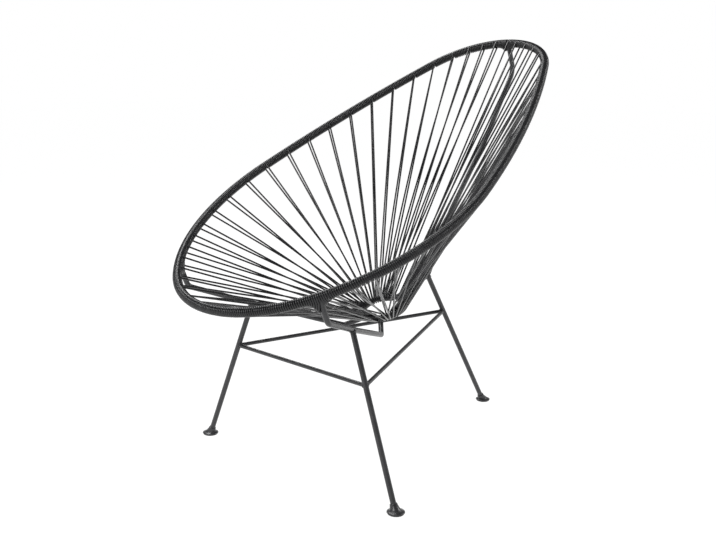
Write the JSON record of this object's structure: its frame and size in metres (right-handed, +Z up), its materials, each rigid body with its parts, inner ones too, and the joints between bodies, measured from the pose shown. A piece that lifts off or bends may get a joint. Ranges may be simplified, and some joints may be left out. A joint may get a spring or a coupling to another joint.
{
  "type": "acapulco chair",
  "caption": "Low lounge chair: a tilted egg-shaped steel hoop wound with cord and laced to a small centre ring, with a bent back spine, front ribs and splayed braced legs on round feet.",
  "frame": {"origin": "on the floor, under the middle of the chair's length and width", "axes": "+X to the sitter's left, +Y to the back of the chair, +Z up"},
  "size_m": [0.704, 0.983, 0.9395],
  "materials": {
    "frame_steel": "satin black powder coat",
    "cord_plastic": "smooth black plastic cord with a soft sheen",
    "glide_plastic": "matt black"
  },
  "bodies": {
    "root": {"hoop": "frame_steel", "centre_ring": "frame_steel", "back_spine": "frame_steel", "rib_left": "frame_steel", "rib_right": "frame_steel", "leg_rear": "frame_steel", "leg_front_left": "frame_steel", "leg_front_right": "frame_steel", "brace_front": "frame_steel", "brace_left": "frame_steel", "brace_right": "frame_steel", "foot_rear": "frame_steel", "foot_front_left": "frame_steel", "foot_front_right": "frame_steel", "glide_rear": "glide_plastic", "glide_front_left": "glide_plastic", "glide_front_right": "glide_plastic", "lacing_head_left": "cord_plastic", "lacing_shoulder_left": "cord_plastic", "lacing_back_left": "cord_plastic", "lacing_arm_left": "cord_plastic", "lacing_hip_left": "cord_plastic", "lacing_knee_left": "cord_plastic", "lacing_head_right": "cord_plastic", "lacing_shoulder_right": "cord_plastic", "lacing_back_right": "cord_plastic", "lacing_arm_right": "cord_plastic", "lacing_hip_right": "cord_plastic", "lacing_knee_right": "cord_plastic"}
  },
  "joints": []
}
